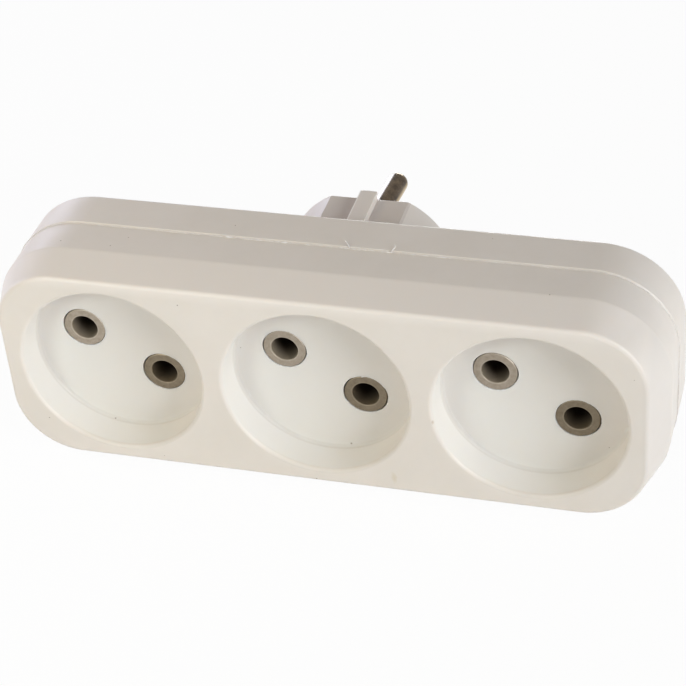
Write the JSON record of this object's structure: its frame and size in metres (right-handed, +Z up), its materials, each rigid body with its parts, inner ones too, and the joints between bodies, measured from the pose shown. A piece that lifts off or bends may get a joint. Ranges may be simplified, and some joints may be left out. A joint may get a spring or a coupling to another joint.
{
  "type": "multi socket adapter",
  "caption": "Flat rounded plastic housing with round recessed two-pole sockets side by side on its front and a round two-pin plug standing out of its back.",
  "frame": {"origin": "centre of the end face of the plug body, where it meets the floor of a wall outlet", "axes": "+Y along the plug pins into the wall outlet, +Z up as the picture shows it, +X along the housing to the right as seen from the front"},
  "size_m": [0.141, 0.067, 0.049],
  "materials": {
    "housing_plastic": "ivory white moulded plastic, half gloss",
    "sleeve_metal": "nickel-plated brass, turned",
    "pin_metal": "nickel-plated brass, dulled by use",
    "bar_metal": "bare brass sheet",
    "spring_steel": "blank spring steel strip",
    "screw_steel": "zinc-plated steel"
  },
  "bodies": {
    "root": {"front_shell": "housing_plastic", "rear_shell": "housing_plastic", "contact_sleeve_upper_left": "sleeve_metal", "contact_sleeve_lower_left": "sleeve_metal", "contact_sleeve_upper_middle": "sleeve_metal", "contact_sleeve_lower_middle": "sleeve_metal", "contact_sleeve_upper_right": "sleeve_metal", "contact_sleeve_lower_right": "sleeve_metal", "spring_ring_upper_left": "spring_steel", "spring_ring_lower_left": "spring_steel", "spring_ring_upper_middle": "spring_steel", "spring_ring_lower_middle": "spring_steel", "spring_ring_upper_right": "spring_steel", "spring_ring_lower_right": "spring_steel", "bus_bar_upper": "bar_metal", "bus_bar_lower": "bar_metal", "plug_pin_upper": "pin_metal", "plug_pin_lower": "pin_metal", "housing_screw_left_upper": "screw_steel", "housing_screw_left_lower": "screw_steel", "housing_screw_right_upper": "screw_steel", "housing_screw_right_lower": "screw_steel"}
  },
  "joints": []
}
